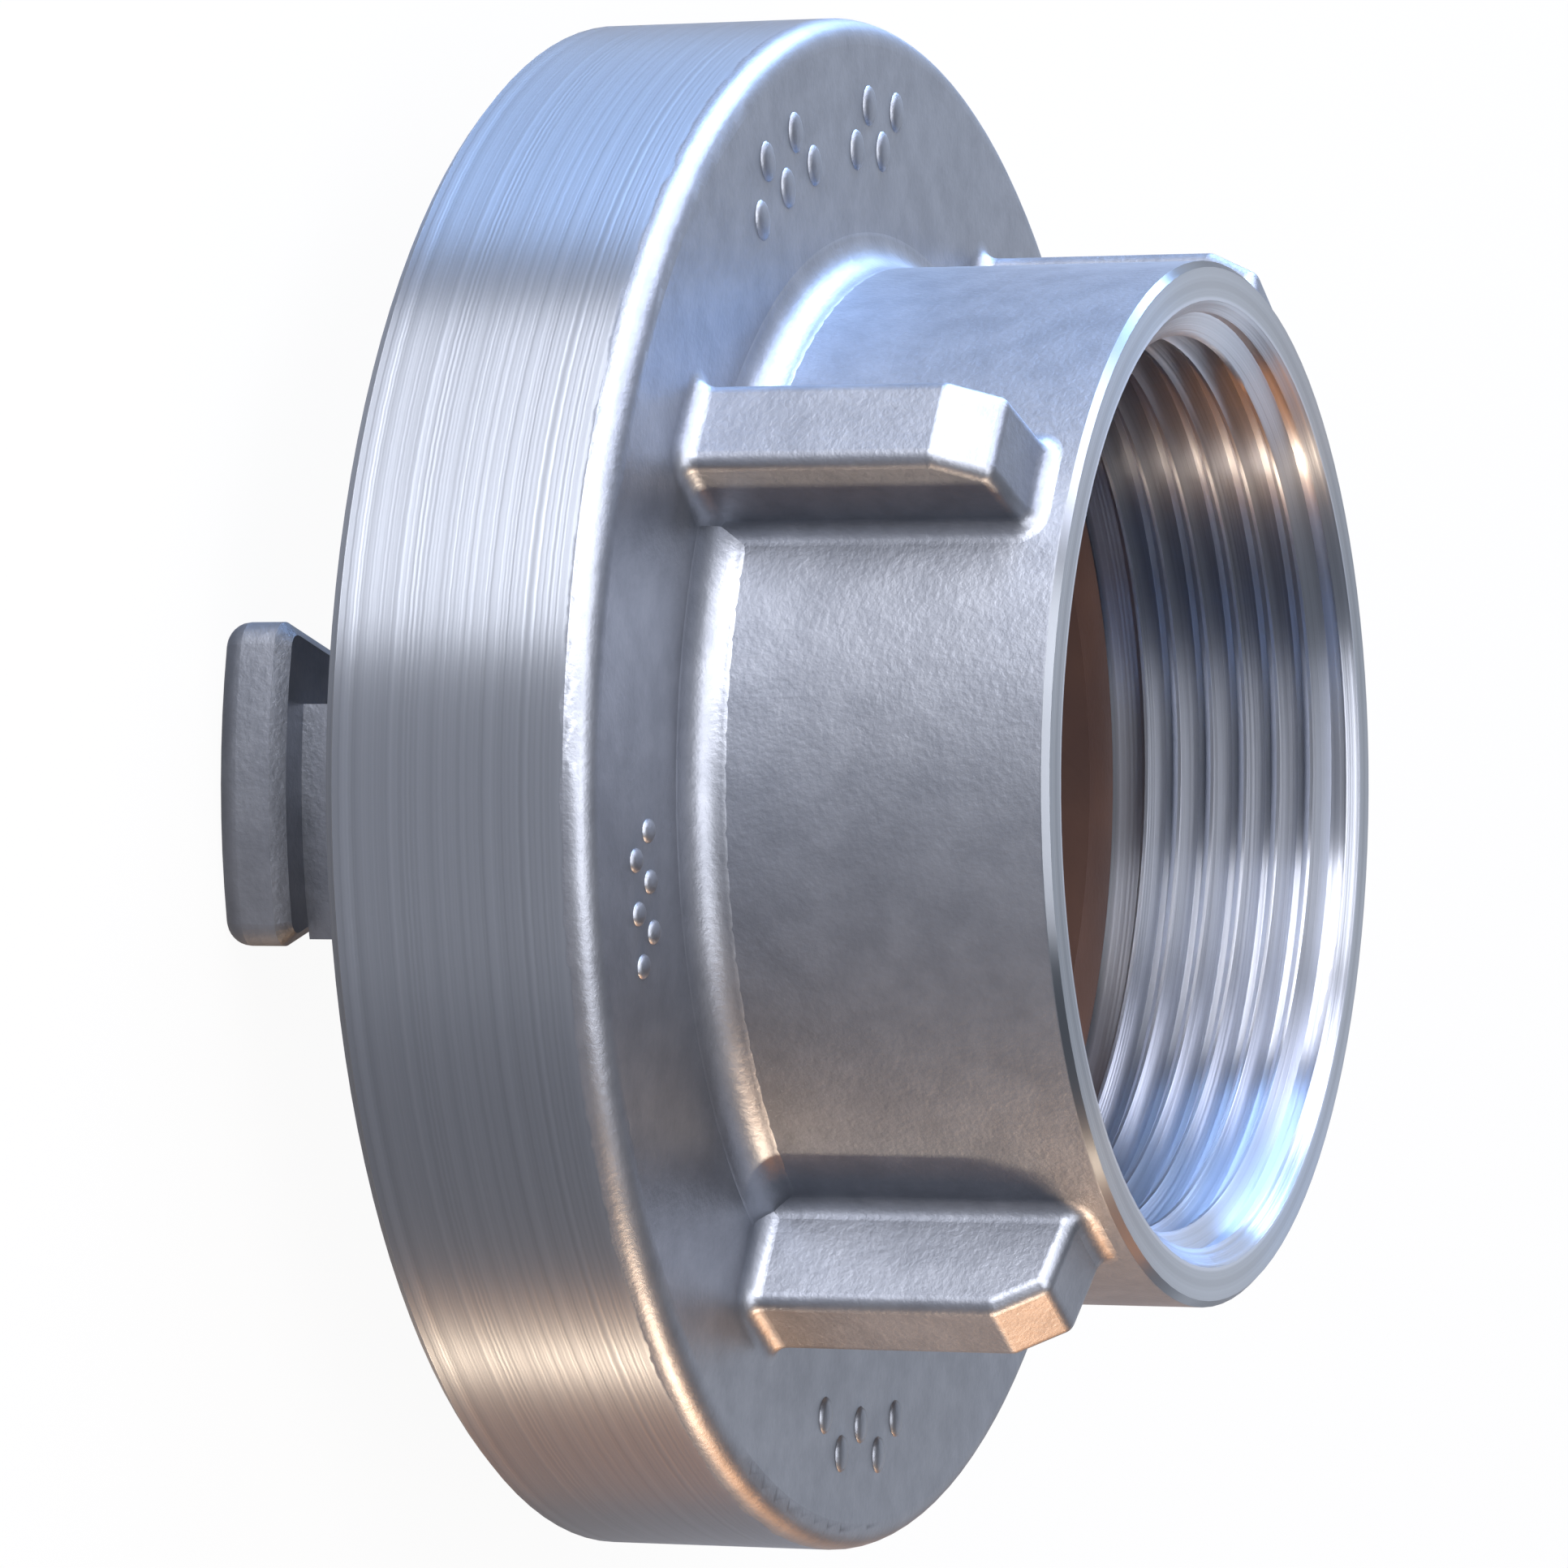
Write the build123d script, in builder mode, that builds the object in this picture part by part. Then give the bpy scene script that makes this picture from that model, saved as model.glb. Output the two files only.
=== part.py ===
from build123d import *
import os

# One fixed half of a genderless quarter turn fire hose coupling, forged and turned as one piece.
# Two hooks on its face pass into the slots of an equal half and turn under its lip. The other end is
# a neck with a female pipe thread and four spanner lugs.
# The axis is Z with the thread end up, and the part stands on the tips of its two hooks at Z = 0.
# Angles round the coupling face start at a hook and grow in the direction in which its head overhangs.

# Driving dimensions, in millimetres and degrees

# Seal seat in the boss of the coupling face
seal_seat_width = 4.5
seal_seat_depth = 8.0
seal_groove_depth = 1.3
seal_groove_length = 3.8
boss_wall = 3.1

# Hooks: 66 mm between the inner faces of the two
hook_count = 2
hook_clearance = 0.4
hook_height = 10.6
hook_head_thickness = 4.5
hook_head_reach = 3.1
hook_stem_thickness = 5.3
hook_half_angle = 14.3
hook_overhang_angle = 7.0
hook_corner_radius = 1.7
hook_tip_radius = 1.5
hook_lead_chamfer = 0.8
hook_root_radius = 0.6

# Slots, lip and pocket that take the hooks of the other half
turn_angle = 86.0
entry_angle = 148.0
entry_side_angle = 0.7
stop_side_angle = 0.6
slot_side_clearance = 0.5
slot_corner_radius = 1.2
slot_chamfer = 0.5
lip_thickness = 4.9
lip_ramp_rise = 1.0
lip_ramp_setback = 0.2
lip_ramp_bury = 0.5
pocket_floor_clearance = 2.0
pocket_side_clearance = 0.8
pocket_end_angle = 1.2

# Coupling ring
ring_wall = 6.8
back_plate_thickness = 4.6
face_chamfer = 0.7
forged_edge_radius = 1.7

# Neck and female thread, 2 inch parallel pipe, 11 threads to the inch, bored here to its major diameter.
# The gasket seat below the thread reaches in to the waterway of 50 mm
thread_major_diameter = 59.614
thread_length = 14.8
thread_relief_depth = 0.4
thread_relief_length = 5.1
gasket_seat_width = 4.807
mouth_chamfer = 0.7
neck_wall = 3.2
neck_length = 22.8
neck_edge_chamfer = 0.4

# Spanner lugs, side view from the back face to the bevelled end
lug_count = 4
lug_first_angle = 33.0
lug_height = 7.0
lug_width = 6.1
lug_mouth_setback = 2.0
lug_bevel_length = 3.4
lug_bevel_drop = 1.8
lug_end_length = 1.3
lug_edge_radius = 0.9
lug_root_radius = 1.2
lug_bury = 1.5

# Rubber seal ring in the coupling face
seal_clearance = 0.3
seal_stand_proud = 1.2
seal_bead_chamfer = 0.9
seal_lip_groove_depth = 1.8
seal_lip_groove_width = 2.6
seal_lip_groove_offset = 3.4

# Flat rubber gasket at the bottom of the thread
gasket_thickness = 2.8
gasket_clearance = 0.4

# Radii and heights that follow from them
thread_radius = thread_major_diameter / 2
waterway_radius = thread_radius - gasket_seat_width
seal_seat_radius = waterway_radius + seal_seat_width
seal_groove_radius = seal_seat_radius + seal_groove_depth
boss_radius = seal_seat_radius + boss_wall
hook_inner_radius = boss_radius + hook_clearance
hook_stem_radius = hook_inner_radius + hook_stem_thickness
hook_head_radius = hook_stem_radius + hook_head_reach
slot_outer_radius = hook_stem_radius + slot_side_clearance
pocket_radius = hook_head_radius + pocket_side_clearance
ring_radius = pocket_radius + ring_wall
thread_relief_radius = thread_radius + thread_relief_depth
neck_radius = thread_radius + neck_wall
lug_radius = neck_radius + lug_height

face_z = hook_height
pocket_floor_z = face_z + hook_height + pocket_floor_clearance
back_z = pocket_floor_z + back_plate_thickness
end_z = back_z + neck_length
seal_floor_z = face_z + seal_seat_depth
thread_start_z = end_z - thread_length
gasket_seat_z = thread_start_z - thread_relief_length

# Angles on the face, measured from a hook towards its overhang, and the near hook's own direction
near_hook_direction = -90.0
match_tolerance = 0.01
entry_first = entry_angle - hook_half_angle - entry_side_angle
entry_last = entry_angle + hook_half_angle + entry_side_angle
stem_lead_angle = hook_half_angle - hook_overhang_angle
slot_first = entry_angle - turn_angle - stem_lead_angle - stop_side_angle
pocket_first = slot_first - hook_overhang_angle - pocket_end_angle


def axis_distance(edge):
    """Return how far the middle of an edge is from the axis."""
    middle = edge @ 0.5
    return (middle.X**2 + middle.Y**2) ** 0.5


def ring_sector(inner_radius, outer_radius, first_angle, last_angle):
    """Return the outline between two radii and two face angles, for the near hook's half of the face."""
    start = near_hook_direction - last_angle
    span = last_angle - first_angle
    with BuildSketch() as sector:
        with BuildLine():
            inner = CenterArc((0, 0), inner_radius, start, span)
            outer = CenterArc((0, 0), outer_radius, start, span)
            Line(inner @ 0, outer @ 0)
            Line(inner @ 1, outer @ 1)
        make_face()
    return sector.sketch


# Hook: a stem on the face and a thicker head that overhangs it outwards and along the turn

with BuildPart() as hook:
    with BuildSketch():
        add(ring_sector(hook_inner_radius, hook_head_radius, -hook_half_angle, hook_half_angle))
        head_corners = vertices().sort_by(Axis.Y)[:2]
        fillet(head_corners, hook_corner_radius)
    extrude(amount=hook_head_thickness)
    tip_face = faces().sort_by(Axis.Z)[0]
    inner_edge = tip_face.edges().sort_by(Axis.Y)[-1]
    fillet([edge for edge in tip_face.edges() if edge != inner_edge], hook_tip_radius)
    underside = faces().sort_by(Axis.Z)[-1]
    lead_edge = underside.edges().filter_by(GeomType.LINE).sort_by(Axis.X)[0]
    chamfer(lead_edge, hook_lead_chamfer)
    with BuildSketch(Plane.XY.offset(hook_head_thickness)):
        add(ring_sector(hook_inner_radius, hook_stem_radius, -hook_half_angle, stem_lead_angle))
    extrude(amount=hook_height - hook_head_thickness)

# Ramp on the back of the lip, a helical bar with its outer side sunk into the pocket's wall, that starts
# flush with the lip at the entry and rises towards the stop, so that it draws the two faces together

ramp_span = entry_first - slot_first
ramp_pitch = lip_ramp_rise * 360.0 / ramp_span
ramp_inner_radius = slot_outer_radius + lip_ramp_setback
ramp_width = pocket_radius + lip_ramp_bury - ramp_inner_radius
ramp_depth = lip_thickness / 2
ramp_angle = near_hook_direction - entry_first
ramp_radius = ramp_inner_radius + ramp_width / 2
ramp_top_z = face_z + lip_thickness

with BuildPart() as ramp:
    with BuildLine():
        ramp_path = Helix(ramp_pitch, lip_ramp_rise, ramp_radius, center=(0, 0, ramp_top_z))
    with BuildSketch(Plane.XZ):
        with Locations((ramp_radius, ramp_top_z)):
            Rectangle(ramp_width, ramp_depth, align=(Align.CENTER, Align.MAX))
    sweep(path=ramp_path, is_frenet=True)

# Spanner lug: flat outer face, bevelled end, drawn in its side view and rounded along its free edges

lug_foot_z = end_z - lug_mouth_setback
lug_bevel_end_z = lug_foot_z - lug_end_length
lug_flat_end_z = lug_bevel_end_z - lug_bevel_length

with BuildPart() as spanner_lug:
    with BuildSketch(Plane.XZ):
        with BuildLine():
            Polyline(
                (neck_radius - lug_bury, back_z - lug_bury),
                (lug_radius, back_z - lug_bury),
                (lug_radius, lug_flat_end_z),
                (lug_radius - lug_bevel_drop, lug_bevel_end_z),
                (neck_radius - lug_bury, lug_foot_z),
                close=True,
            )
        make_face()
    extrude(amount=lug_width / 2, both=True)
    buried_faces = faces().sort_by(Axis.X)[:1] + faces().sort_by(Axis.Z)[:1]
    buried_edges = buried_faces.edges()
    fillet([edge for edge in edges() if edge not in buried_edges], lug_edge_radius)

# Body: turned and forged blank, then lugs, hooks, pockets, slots and ramps

with BuildPart() as coupling_body:
    with BuildSketch(Plane.XZ):
        with BuildLine():
            Polyline(
                (seal_seat_radius, face_z),
                (ring_radius - face_chamfer, face_z),
                (ring_radius, face_z + face_chamfer),
                (ring_radius, back_z),
                (neck_radius, back_z),
                (neck_radius, end_z - neck_edge_chamfer),
                (neck_radius - neck_edge_chamfer, end_z),
                (thread_radius + mouth_chamfer, end_z),
                (thread_radius, end_z - mouth_chamfer),
                (thread_radius, thread_start_z),
                (thread_relief_radius, thread_start_z),
                (thread_relief_radius, gasket_seat_z),
                (waterway_radius, gasket_seat_z),
                (waterway_radius, seal_floor_z),
                (seal_groove_radius, seal_floor_z),
                (seal_groove_radius, seal_floor_z - seal_groove_length),
                (seal_seat_radius, seal_floor_z - seal_groove_length),
                close=True,
            )
        make_face()
        back_corners = vertices().filter_by(lambda corner: abs(corner.Y - back_z) < match_tolerance)
        fillet(back_corners.sort_by(Axis.X)[-1], forged_edge_radius)
    revolve(axis=Axis.Z)

    with PolarLocations(0, lug_count, start_angle=near_hook_direction - lug_first_angle):
        add(spanner_lug.part)
    lug_roots = edges(Select.NEW).filter_by(lambda edge: edge.is_interior)
    fillet(lug_roots, lug_root_radius)

    with BuildSketch(Plane.XY.offset(face_z + lip_thickness)):
        with PolarLocations(0, hook_count):
            add(ring_sector(boss_radius, pocket_radius, pocket_first, entry_last))
        fillet(vertices(), slot_corner_radius)
    extrude(amount=pocket_floor_z - face_z - lip_thickness, mode=Mode.SUBTRACT)
    for pocket_number in range(hook_count):
        with Locations(Rotation(0, 0, ramp_angle + pocket_number * 360.0 / hook_count)):
            add(ramp.part)
    with BuildSketch(Plane.XY.offset(face_z)):
        with PolarLocations(0, hook_count):
            add(ring_sector(boss_radius, slot_outer_radius, slot_first, entry_last))
            add(ring_sector(boss_radius, pocket_radius, entry_first, entry_last))
        fillet(vertices(), slot_corner_radius)
    extrude(amount=lip_thickness, mode=Mode.SUBTRACT)
    coupling_face = faces().filter_by(Plane.XY).sort_by(Axis.Z)[0]
    slot_rims = [wire.edges() for wire in coupling_face.inner_wires() if len(wire.edges()) > 1]
    chamfer(slot_rims, slot_chamfer)

    with PolarLocations(0, hook_count):
        add(hook.part)
    face_edges = edges().filter_by_position(Axis.Z, face_z - match_tolerance, face_z + match_tolerance)
    stem_roots = face_edges.filter_by(lambda edge: edge.is_interior)
    inner_limit = hook_inner_radius + match_tolerance
    fillet(stem_roots.filter_by(lambda edge: axis_distance(edge) > inner_limit), hook_root_radius)

# Seal ring: a bead that stands proud of the face, a lip groove on the water side and a foot in the groove

seal_outer_radius = seal_seat_radius - seal_clearance
seal_foot_radius = seal_groove_radius - seal_clearance
seal_foot_z = seal_floor_z - seal_groove_length + seal_clearance
seal_front_z = face_z - seal_stand_proud
lip_groove_z = face_z + seal_lip_groove_offset

with BuildPart() as face_seal:
    with BuildSketch(Plane.XZ):
        with BuildLine():
            Polyline(
                (waterway_radius, seal_floor_z),
                (seal_foot_radius, seal_floor_z),
                (seal_foot_radius, seal_foot_z),
                (seal_outer_radius, seal_foot_z),
                (seal_outer_radius, face_z),
                (seal_outer_radius - seal_bead_chamfer, seal_front_z),
                (waterway_radius + seal_bead_chamfer, seal_front_z),
                (waterway_radius, face_z),
                close=True,
            )
        make_face()
        with Locations((waterway_radius, lip_groove_z)):
            SlotCenterToCenter(
                2 * seal_lip_groove_depth - seal_lip_groove_width, seal_lip_groove_width, mode=Mode.SUBTRACT
            )
    revolve(axis=Axis.Z)

# Gasket: a flat ring on the shoulder at the bottom of the thread

with BuildPart() as thread_gasket:
    with BuildSketch(Plane.XY.offset(gasket_seat_z)):
        Circle(thread_relief_radius - gasket_clearance)
        Circle(waterway_radius, mode=Mode.SUBTRACT)
    extrude(amount=gasket_thickness)

# Write one file for each piece

os.makedirs("parts", exist_ok=True)
coupling_body.part.label = "coupling_body"
face_seal.part.label = "face_seal"
thread_gasket.part.label = "thread_gasket"
export_step(coupling_body.part, "parts/coupling_body.step")
export_step(face_seal.part, "parts/face_seal.step")
export_step(thread_gasket.part, "parts/thread_gasket.step")
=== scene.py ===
"""Quarter turn hose coupling half: finishes, fine parts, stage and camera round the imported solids."""

import logging
import math
from dataclasses import dataclass, field
from enum import Enum

import bmesh
import bpy
from mathutils import Matrix, Vector


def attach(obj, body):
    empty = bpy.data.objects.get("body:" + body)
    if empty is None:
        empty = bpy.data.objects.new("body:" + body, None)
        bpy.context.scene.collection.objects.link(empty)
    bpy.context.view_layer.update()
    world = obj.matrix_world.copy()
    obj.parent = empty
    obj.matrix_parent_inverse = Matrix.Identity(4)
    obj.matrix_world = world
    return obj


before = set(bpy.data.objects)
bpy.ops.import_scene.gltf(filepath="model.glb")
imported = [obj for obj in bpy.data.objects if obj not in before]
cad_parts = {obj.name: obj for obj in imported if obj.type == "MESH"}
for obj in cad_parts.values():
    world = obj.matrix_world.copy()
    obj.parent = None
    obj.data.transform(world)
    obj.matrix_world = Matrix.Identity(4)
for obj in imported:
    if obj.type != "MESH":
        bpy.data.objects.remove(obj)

MM = 0.001
MERGE_MM = 0.001
SHARP_DEG = 35
PHOTO_PIXELS = 1932
log = logging.getLogger("coupling")


class Node(Enum):
    """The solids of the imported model."""

    BODY = "coupling_body"
    SEAL = "face_seal"
    GASKET = "thread_gasket"


class Slot(Enum):
    """The record's material slots."""

    ALUMINIUM = "forged_aluminium"
    BLACK_RUBBER = "black_rubber"
    BROWN_RUBBER = "brown_rubber"


def linear(code: str) -> tuple[float, float, float, float]:
    """Turn an sRGB hex colour to linear light.

    Args:
        code: The colour as six hex digits after a hash.

    Returns:
        Red, green, blue and an alpha of 1.
    """
    parts = [int(code[i : i + 2], 16) / 255 for i in (1, 3, 5)]
    return tuple(c / 12.92 if c <= 0.04045 else ((c + 0.055) / 1.055) ** 2.4 for c in parts) + (1.0,)


def add_node(tree: bpy.types.NodeTree, kind: str, inputs: dict | None = None, **settings: object) -> bpy.types.Node:
    """Add a node with its settings, its socket values and the links that reach it.

    Args:
        tree: The node tree that gets the node.
        kind: The node's type, without the leading ShaderNode.
        inputs: Input sockets by name or number, each with a value or the output socket to link.
        settings: Properties of the node itself.

    Returns:
        The new node.
    """
    node = tree.nodes.new("ShaderNode" + kind)
    for name, value in settings.items():
        setattr(node, name, value)
    for key, value in (inputs or {}).items():
        if isinstance(value, bpy.types.NodeSocket):
            tree.links.new(value, node.inputs[key])
        else:
            node.inputs[key].default_value = value
    return node


def new_material(name: str) -> tuple[bpy.types.Material, bpy.types.NodeTree]:
    """Make an empty node material.

    Args:
        name: The real finish that the material stands for.

    Returns:
        The material and its cleared node tree.
    """
    material = bpy.data.materials.new(name)
    material.use_nodes = True
    material.node_tree.nodes.clear()
    return material, material.node_tree


@dataclass(frozen=True)
class ForgedAluminium:
    """Aluminium forging, shot blasted, with its ring, faces and bores turned afterwards.

    Blasted skin is matt, mottled and finely pitted. Turned faces carry the tool's feed lines and are brighter.
    The pits and the feed lines are drawn coarser than real ones, so that they show. The turned side of the ring
    ends in a wavering edge, because the forged edge beyond it is uneven. The bore's colour is painted lighter than
    the other turned faces, to stand in for the light on its wall.
    """

    blasted: str = "#81858E"
    blasted_dark: str = "#767A83"
    turned: str = "#8C919A"
    # painted light: the bore is the same turned metal, drawn lighter to stand in for the light on its wall
    bore_painted_lighter: str = "#A9AEBA"
    feed_mm: float = 0.62
    grit_mm: float = 0.45
    mottle_mm: float = 2.6
    ring_radius_mm: float = 48.4
    ring_back_mm: float = 26.1
    waver_mm: float = 0.9
    waver_middle_mm: float = 0.35
    end_face_mm: float = 50.15
    bore_radius_mm: float = 30.7
    face_mm: float = 10.75
    under_face_mm: float = 0.25
    over_face_mm: float = 0.8

    def material(self) -> bpy.types.Material:
        """Build the finish, with its turned places told apart by radius and height in the solid.

        Returns:
            The finish.
        """
        made, tree = new_material("shot_blasted_and_turned_aluminium")
        place = add_node(tree, "TexCoord").outputs["Object"]
        height = add_node(tree, "SeparateXYZ", {0: place}).outputs["Z"]
        flat = add_node(tree, "VectorMath", {0: place, 1: (1, 1, 0)}, operation="MULTIPLY").outputs[0]
        radius = add_node(tree, "VectorMath", {0: flat}, operation="LENGTH").outputs["Value"]

        def above(value: bpy.types.NodeSocket, limit_mm: float, soft_mm: float = 0.1) -> bpy.types.NodeSocket:
            """Return 1 where a length is over a limit, and 0 below it."""
            ends = {0: value, 1: (limit_mm - soft_mm) * MM, 2: (limit_mm + soft_mm) * MM}
            return add_node(tree, "MapRange", ends, interpolation_type="SMOOTHSTEP").outputs[0]

        def math_node(kind: str, *values: object) -> bpy.types.NodeSocket:
            """Return the result of one arithmetic node."""
            return add_node(tree, "Math", dict(enumerate(values)), operation=kind).outputs[0]

        mottle = add_node(
            tree, "TexNoise", {"Vector": place, "Scale": 1 / (self.mottle_mm * MM), "Detail": 4.0, "Roughness": 0.62}
        ).outputs[0]
        wavering = math_node("MULTIPLY_ADD", mottle, self.waver_mm * MM, height)

        on_ring = above(radius, self.ring_radius_mm)
        below_back = math_node("SUBTRACT", 1.0, above(wavering, self.ring_back_mm + self.waver_middle_mm))
        turned_ring = math_node("MULTIPLY", on_ring, below_back)
        end_face = above(height, self.end_face_mm)
        bore = math_node("SUBTRACT", 1.0, above(radius, self.bore_radius_mm))
        past_hook = above(height, self.face_mm - self.under_face_mm)
        before_slot = math_node("SUBTRACT", 1.0, above(height, self.face_mm + self.over_face_mm))
        face = math_node("MULTIPLY", past_hook, before_slot)
        turned = math_node("MAXIMUM", math_node("MAXIMUM", turned_ring, end_face), math_node("MAXIMUM", bore, face))

        feed = math_node("ADD", radius, height)
        lines = add_node(
            tree, "TexNoise", {"W": feed, "Scale": 1 / (self.feed_mm * MM), "Detail": 2.0, "Roughness": 0.6},
            noise_dimensions="1D",
        ).outputs[0]
        wide_lines = add_node(
            tree, "TexNoise", {"W": feed, "Scale": 1 / (4 * self.feed_mm * MM), "Detail": 1.0},
            noise_dimensions="1D",
        ).outputs[0]
        grit = add_node(
            tree, "TexNoise", {"Vector": place, "Scale": 1 / (self.grit_mm * MM), "Detail": 3.0, "Roughness": 0.6}
        ).outputs[0]

        patches = add_node(tree, "MapRange", {0: mottle, 1: 0.35, 2: 0.65}).outputs[0]
        skin = add_node(
            tree, "Mix", {0: patches, 6: linear(self.blasted_dark), 7: linear(self.blasted)}, data_type="RGBA"
        ).outputs[2]
        streaks = add_node(tree, "MapRange", {0: lines, 1: 0.3, 2: 0.7, 3: 0.82, 4: 1.0}).outputs[0]
        # the bore gets its painted lighter colour here, standing in for the light on its wall
        cut_colour = add_node(
            tree, "Mix", {0: bore, 6: linear(self.turned), 7: linear(self.bore_painted_lighter)}, data_type="RGBA"
        ).outputs[2]
        bright = add_node(
            tree, "Mix", {0: 1.0, 6: cut_colour, 7: streaks}, data_type="RGBA", blend_type="MULTIPLY"
        ).outputs[2]
        colour = add_node(tree, "Mix", {0: turned, 6: skin, 7: bright}, data_type="RGBA").outputs[2]
        roughness = add_node(tree, "Mix", {0: turned, 2: 0.46, 3: 0.31}).outputs[0]
        stretch = math_node("MULTIPLY", turned, 0.92)
        around = add_node(tree, "Tangent", direction_type="RADIAL", axis="Z").outputs[0]

        rough_skin = add_node(
            tree, "Bump", {"Height": grit, "Distance": 0.05 * MM, "Strength": 0.6}
        ).outputs[0]
        skin_normal = add_node(
            tree, "Bump", {"Height": mottle, "Distance": 0.05 * MM, "Strength": 0.3, "Normal": rough_skin}
        ).outputs[0]
        cut = add_node(tree, "Bump", {"Height": lines, "Distance": 0.05 * MM, "Strength": 0.7}).outputs[0]
        cut_normal = add_node(
            tree, "Bump", {"Height": wide_lines, "Distance": 0.04 * MM, "Strength": 0.5, "Normal": cut}
        ).outputs[0]
        normal = add_node(tree, "Mix", {0: turned, 4: skin_normal, 5: cut_normal}, data_type="VECTOR").outputs[1]

        shader = add_node(
            tree, "BsdfPrincipled",
            {
                "Base Color": colour, "Metallic": 1.0, "Roughness": roughness, "Normal": normal,
                "Anisotropic": stretch, "Anisotropic Rotation": 0.25, "Tangent": around,
            },
        )
        add_node(tree, "OutputMaterial", {"Surface": shader.outputs[0]})
        return made


@dataclass(frozen=True)
class MouldedRubber:
    """Compression moulded rubber, matt with a faint bloom and fine mould grain, drawn coarse enough to show."""

    name: str
    colour: str
    bloom: str
    grain_mm: float = 0.5
    cloud_mm: float = 9.0

    def material(self) -> bpy.types.Material:
        """Build the finish.

        Returns:
            The finish.
        """
        made, tree = new_material(self.name)
        place = add_node(tree, "TexCoord").outputs["Object"]
        grain = add_node(
            tree, "TexNoise", {"Vector": place, "Scale": 1 / (self.grain_mm * MM), "Detail": 3.0}
        ).outputs[0]
        cloud = add_node(
            tree, "TexNoise", {"Vector": place, "Scale": 1 / (self.cloud_mm * MM), "Detail": 3.0}
        ).outputs[0]
        amount = add_node(tree, "MapRange", {0: cloud, 1: 0.35, 2: 0.7}).outputs[0]
        colour = add_node(
            tree, "Mix", {0: amount, 6: linear(self.colour), 7: linear(self.bloom)}, data_type="RGBA"
        ).outputs[2]
        normal = add_node(tree, "Bump", {"Height": grain, "Distance": 0.04 * MM, "Strength": 0.5}).outputs[0]
        shader = add_node(tree, "BsdfPrincipled", {"Base Color": colour, "Roughness": 0.62, "Normal": normal})
        add_node(tree, "OutputMaterial", {"Surface": shader.outputs[0]})
        return made


def finish_mesh(mesh: bmesh.types.BMesh, name: str, material: bpy.types.Material) -> bpy.types.Object:
    """Close a mesh, turn its faces outwards and make it a piece that rides on the body.

    Args:
        mesh: The shaped mesh, in metres in the row's frame.
        name: The piece's name.
        material: The finish that it gets.

    Returns:
        The piece's object.
    """
    bmesh.ops.remove_doubles(mesh, verts=mesh.verts, dist=MERGE_MM * MM)
    bmesh.ops.recalc_face_normals(mesh, faces=mesh.faces)
    data = bpy.data.meshes.new(name)
    mesh.to_mesh(data)
    mesh.free()
    data.materials.append(material)
    data.set_sharp_from_angle(angle=math.radians(SHARP_DEG))
    piece = bpy.data.objects.new(name, data)
    bpy.context.scene.collection.objects.link(piece)
    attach(piece, "root")
    log.info("%s: %d faces", name, len(data.polygons))
    return piece


@dataclass
class PipeThread:
    """The female thread's ridge, 2 inch parallel pipe, right-handed, cut by the chamfer at the mouth.

    Its root is sunk a little in the bore's wall, and its crest has rounded corners.
    """

    pitch_mm: float = 2.309
    wall_radius_mm: float = 29.807
    crest_radius_mm: float = 28.328
    start_mm: float = 35.8
    end_mm: float = 49.9
    flank_deg: float = 27.5
    crest_flat_mm: float = 0.22
    round_in_mm: float = 0.14
    round_along_mm: float = 0.1
    sunk_mm: float = 0.06
    spread_mm: float = 0.03
    steps_per_turn: int = 120

    def build(self, material: bpy.types.Material) -> bpy.types.Object:
        """Spin the ridge's section along the helix and trim it at the relief and the mouth.

        Args:
            material: The coupling's finish.

        Returns:
            The ridge.
        """
        depth = self.wall_radius_mm - self.crest_radius_mm
        half_base = depth * math.tan(math.radians(self.flank_deg)) + self.crest_flat_mm / 2 + self.sunk_mm
        sunk = self.wall_radius_mm + self.sunk_mm
        section = [
            (sunk, -half_base - self.spread_mm),
            (self.crest_radius_mm + self.round_in_mm, -self.crest_flat_mm / 2 - self.round_along_mm),
            (self.crest_radius_mm, -self.crest_flat_mm / 2),
            (self.crest_radius_mm, self.crest_flat_mm / 2),
            (self.crest_radius_mm + self.round_in_mm, self.crest_flat_mm / 2 + self.round_along_mm),
            (sunk, half_base + self.spread_mm),
        ]
        first = self.start_mm - self.pitch_mm
        turns = math.ceil((self.end_mm + self.pitch_mm - first) / self.pitch_mm)
        mesh = bmesh.new()
        corners = [mesh.verts.new((r * MM, 0, (first + z) * MM)) for r, z in section]
        face = mesh.faces.new(corners)
        steps = turns * self.steps_per_turn
        bmesh.ops.spin(
            mesh, geom=[face, *face.edges, *face.verts], cent=(0, 0, 0), axis=(0, 0, 1),
            dvec=(0, 0, self.pitch_mm * MM / self.steps_per_turn), angle=math.tau * turns, steps=steps,
        )
        for height, outwards in ((self.start_mm, -1), (self.end_mm, 1)):
            cut = bmesh.ops.bisect_plane(
                mesh, geom=[*mesh.verts, *mesh.edges, *mesh.faces], dist=1e-7,
                plane_co=(0, 0, height * MM), plane_no=(0, 0, outwards), clear_outer=True,
            )
            rim = [item for item in cut["geom_cut"] if isinstance(item, bmesh.types.BMEdge)]
            bmesh.ops.contextual_create(mesh, geom=rim)
        cone = self.end_mm - self.wall_radius_mm
        for vertex in mesh.verts:
            reach = Vector((vertex.co.x, vertex.co.y, 0))
            least = vertex.co.z - cone * MM
            if 0 < reach.length < least:
                reach.length = least
                vertex.co = (reach.x, reach.y, vertex.co.z)
        return finish_mesh(mesh, "female_thread_ridge", material)


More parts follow.
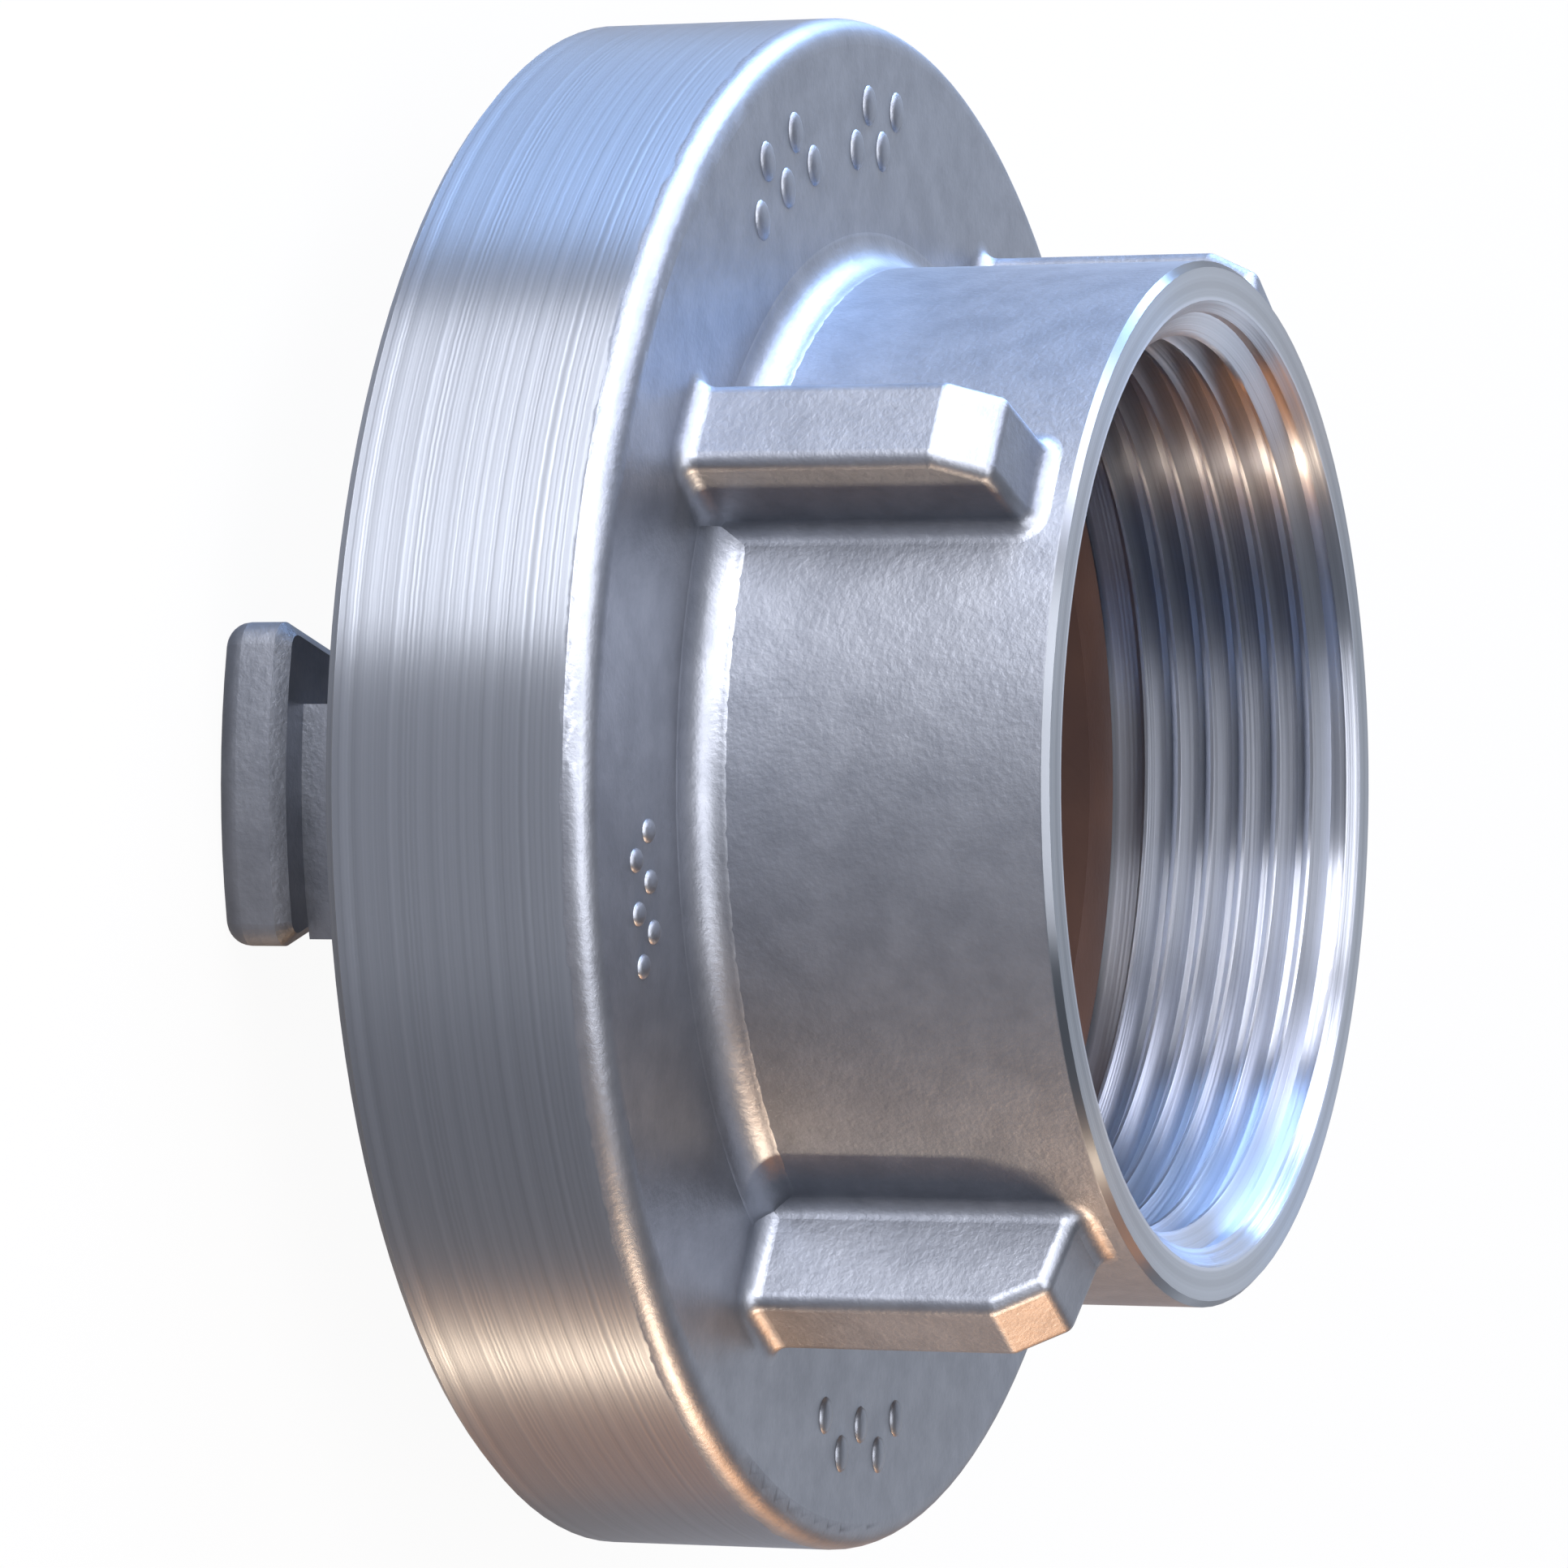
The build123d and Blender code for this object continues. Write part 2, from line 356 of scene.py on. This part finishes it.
@dataclass
class RootFillet:
    """The forged hollow where the neck runs into the back face.

    The arc starts at the face and turns back to the neck. It stops 2 degrees short of each, where its straight
    sides go down into the solid, so that no face lies in another.
    """

    neck_radius_mm: float = 33.0
    face_mm: float = 27.8
    hollow_mm: float = 2.4
    sunk_mm: float = 0.05
    arc_from_deg: int = 268
    arc_span_deg: int = 86
    arc_steps: int = 12
    turn_steps: int = 240

    def build(self, material: bpy.types.Material) -> bpy.types.Object:
        """Turn the hollow's section round the axis, its straight sides just sunk in the neck and the face.

        Args:
            material: The coupling's finish.

        Returns:
            The hollow's ring.
        """
        section = [(self.neck_radius_mm - self.sunk_mm, self.face_mm - self.sunk_mm)]
        section.append((self.neck_radius_mm + self.hollow_mm, self.face_mm - self.sunk_mm))
        for step in range(self.arc_steps + 1):
            angle = math.radians(self.arc_from_deg - self.arc_span_deg * step / self.arc_steps)
            out = self.neck_radius_mm + self.hollow_mm * (1 + math.cos(angle))
            section.append((out, self.face_mm + self.hollow_mm * (1 + math.sin(angle))))
        section.append((self.neck_radius_mm - self.sunk_mm, self.face_mm + self.hollow_mm))
        mesh = bmesh.new()
        corners = [mesh.verts.new((r * MM, 0, z * MM)) for r, z in section]
        edges = [mesh.edges.new((corners[i - 1], corners[i])) for i in range(len(corners))]
        bmesh.ops.spin(
            mesh, geom=[*corners, *edges], cent=(0, 0, 0), axis=(0, 0, 1), dvec=(0, 0, 0), angle=math.tau,
            steps=self.turn_steps, use_merge=True,
        )
        return finish_mesh(mesh, "neck_root_fillet", material)


@dataclass
class ForgingMarks:
    """Plain raised pips in short zigzag rows where the forging's back face carries its marks.

    Each row is given by its first and last direction in degrees, its count, its inner and outer radius from the
    axis and the radius of a pip. A pip is a little longer along the radius.
    """

    face_mm: float = 27.8
    rise_mm: float = 0.34
    stretch: float = 1.2
    rows: tuple[tuple[float, float, int, float, float, float], ...] = (
        (59, 73, 5, 40.6, 43.4, 1.1),
        (84, 94, 4, 40.6, 43.4, 1.1),
        (-4, -15, 6, 39.9, 42.0, 0.75),
        (-76, -94, 5, 41.0, 43.0, 1.0),
    )

    def build(self, material: bpy.types.Material) -> bpy.types.Object:
        """Raise the pips as low domes, half sunk in the back face.

        Args:
            material: The coupling's finish.

        Returns:
            The pips, as one piece.
        """
        mesh = bmesh.new()
        for first_deg, last_deg, count, inner_mm, outer_mm, size_mm in self.rows:
            for number in range(count):
                phi_deg = first_deg + (last_deg - first_deg) * number / (count - 1)
                radius_mm = outer_mm if number % 2 else inner_mm
                pip = bmesh.ops.create_uvsphere(mesh, u_segments=16, v_segments=8, radius=1.0)["verts"]
                size = (size_mm * MM, self.stretch * size_mm * MM, self.rise_mm * MM)
                bmesh.ops.scale(mesh, vec=size, verts=pip)
                bmesh.ops.translate(mesh, vec=(0, -radius_mm * MM, self.face_mm * MM), verts=pip)
                turn = Matrix.Rotation(-math.radians(phi_deg), 3, "Z")
                bmesh.ops.rotate(mesh, cent=(0, 0, 0), matrix=turn, verts=pip)
        return finish_mesh(mesh, "forging_marks", material)


@dataclass(frozen=True)
class Lamp:
    """A soft square or strip lamp, placed round the object by its direction in the photo."""

    name: str
    phi_deg: float
    elevation_deg: float
    distance_m: float
    width_m: float
    height_m: float
    watts: float
    colour: str
    aim_mm: float = 25.0

    def place(self) -> None:
        """Add the lamp, aimed at the middle of the object."""
        data = bpy.data.lights.new(self.name, "AREA")
        data.shape = "RECTANGLE"
        data.size, data.size_y = self.width_m, self.height_m
        data.energy = self.watts
        data.color = linear(self.colour)[:3]
        phi, rise = math.radians(self.phi_deg), math.radians(self.elevation_deg)
        back = Vector((-math.sin(phi) * math.cos(rise), -math.cos(phi) * math.cos(rise), math.sin(rise)))
        lamp = bpy.data.objects.new(self.name, data)
        lamp.location = Vector((0, 0, self.aim_mm * MM)) + back * self.distance_m
        lamp.rotation_euler = back.to_track_quat("Z", "Y").to_euler()
        lamp.visible_camera = False
        bpy.context.scene.collection.objects.link(lamp)


@dataclass
class Stage:
    """Plain pale floor, a plain world and soft lamps.

    The floor lies just under the hooks' tips, so that they don't show through it.
    """

    lamps: list[Lamp] = field(
        default_factory=lambda: [
            Lamp("key_window", 45, 11, 0.9, 0.84, 0.3, 19.5, "#FCFAFA"),
            Lamp("sky", 110, 12, 0.9, 0.96, 0.3, 25.0, "#AED0FF"),
            Lamp("high_sky", 94, 42, 0.9, 0.6, 0.4, 5.5, "#F4F4FF"),
            Lamp("overhead", 7, 48, 0.9, 1.1, 0.5, 12.0, "#FCFAFA"),
            Lamp("back_card", 180, 28, 0.9, 1.2, 0.7, 2.9, "#E4E9F2"),
            Lamp("warm_strip", -88.5, 11, 0.9, 0.025, 0.3, 7.0, "#FFE6C4"),
            Lamp("warm_fill", -100, 10, 0.9, 0.8, 0.3, 4.2, "#FF9E3C"),
        ]
    )
    floor_size_m: float = 3.0
    under_mm: float = 0.02
    floor_hex: str = "#828284"
    eye_share: float = 0.9
    metal_share: float = 0.08
    world_hex: str = "#85898F"

    def build(self) -> None:
        """Lay the floor, set the world and hang the lamps."""
        mesh = bmesh.new()
        under = Matrix.Translation((0, 0, -self.under_mm * MM))
        bmesh.ops.create_grid(mesh, x_segments=8, y_segments=8, size=self.floor_size_m, matrix=under)
        data = bpy.data.meshes.new("floor")
        mesh.to_mesh(data)
        mesh.free()
        floor = bpy.data.objects.new("floor", data)
        bpy.context.scene.collection.objects.link(floor)
        data.materials.append(self.floor_material())
        world = bpy.data.worlds.new("plain_world")
        world.use_nodes = True
        world.node_tree.nodes.clear()
        sky = add_node(world.node_tree, "Background", {"Color": linear(self.world_hex), "Strength": 1.0})
        add_node(world.node_tree, "OutputWorld", {"Surface": sky.outputs[0]})
        bpy.context.scene.world = world
        for lamp in self.lamps:
            lamp.place()

    def floor_material(self) -> bpy.types.Material:
        """Build pale card that reads white to the eye and keeps its shadow, with little of the white in the metal.

        Returns:
            The floor's finish.
        """
        made, tree = new_material("matt_white_card")
        path = add_node(tree, "LightPath").outputs
        seen_in_metal = {0: path["Is Glossy Ray"], 1: path["Is Transmission Ray"]}
        mirrored = add_node(tree, "Math", seen_in_metal, operation="MAXIMUM")
        metal = add_node(tree, "Math", {0: mirrored.outputs[0], 1: self.metal_share}, operation="MULTIPLY")
        share = add_node(
            tree, "Math", {0: path["Is Camera Ray"], 1: self.eye_share, 2: metal.outputs[0]}, operation="MULTIPLY_ADD"
        )
        card = add_node(tree, "BsdfDiffuse", {"Color": linear(self.floor_hex)})
        white = add_node(tree, "Emission", {"Color": (1, 1, 1, 1), "Strength": 1.05})
        mixed = add_node(tree, "MixShader", {0: share.outputs[0], 1: card.outputs[0], 2: white.outputs[0]})
        add_node(tree, "OutputMaterial", {"Surface": mixed.outputs[0]})
        return made


@dataclass
class PhotoCamera:
    """The photo's view: the axis lies level in the picture, with its thread end turned 21 degrees to the eye."""

    face_mm: float = 10.6
    turn_deg: float = 20.98
    distance_mm: float = 526.06
    right_mm: float = 9.91
    focal_pixels: float = 9985.5

    def place(self) -> None:
        """Add the camera and make it the scene's own."""
        turn = math.radians(self.turn_deg)
        right = Vector((0, math.sin(turn), math.cos(turn)))
        up = Vector((-1, 0, 0))
        back = Vector((0, -math.cos(turn), math.sin(turn)))
        data = bpy.data.cameras.new("photo_camera")
        data.sensor_width = 36.0
        data.lens = self.focal_pixels / PHOTO_PIXELS * data.sensor_width
        data.clip_start, data.clip_end = 0.02, 10.0
        camera = bpy.data.objects.new("photo_camera", data)
        camera.location = (Vector((0, 0, self.face_mm)) + right * self.right_mm + back * self.distance_mm) * MM
        camera.rotation_euler = Matrix((right, up, back)).transposed().to_euler()
        bpy.context.scene.collection.objects.link(camera)
        bpy.context.scene.camera = camera


def dress(node: Node, material: bpy.types.Material) -> None:
    """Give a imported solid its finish.

    Args:
        node: The solid.
        material: The finish.
    """
    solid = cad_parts[node.value]
    solid.data.materials.clear()
    solid.data.materials.append(material)
    log.info("%s: %s", node.value, material.name)


def main() -> None:
    """Dress the solids, add the fine parts, then set the stage and the camera."""
    logging.basicConfig(level=logging.INFO, format="%(message)s")
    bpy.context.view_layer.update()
    metal = ForgedAluminium().material()
    dress(Node.BODY, metal)
    dress(Node.SEAL, MouldedRubber("moulded_black_rubber", "#1C1C1E", "#2A2A2C").material())
    dress(Node.GASKET, MouldedRubber("moulded_brown_rubber", "#3F2A24", "#4E352B").material())
    PipeThread().build(metal)
    RootFillet().build(metal)
    ForgingMarks().build(metal)
    Stage().build()
    PhotoCamera().place()
    bpy.context.scene.view_settings.view_transform = "Standard"


if __name__ == "__main__":
    main()
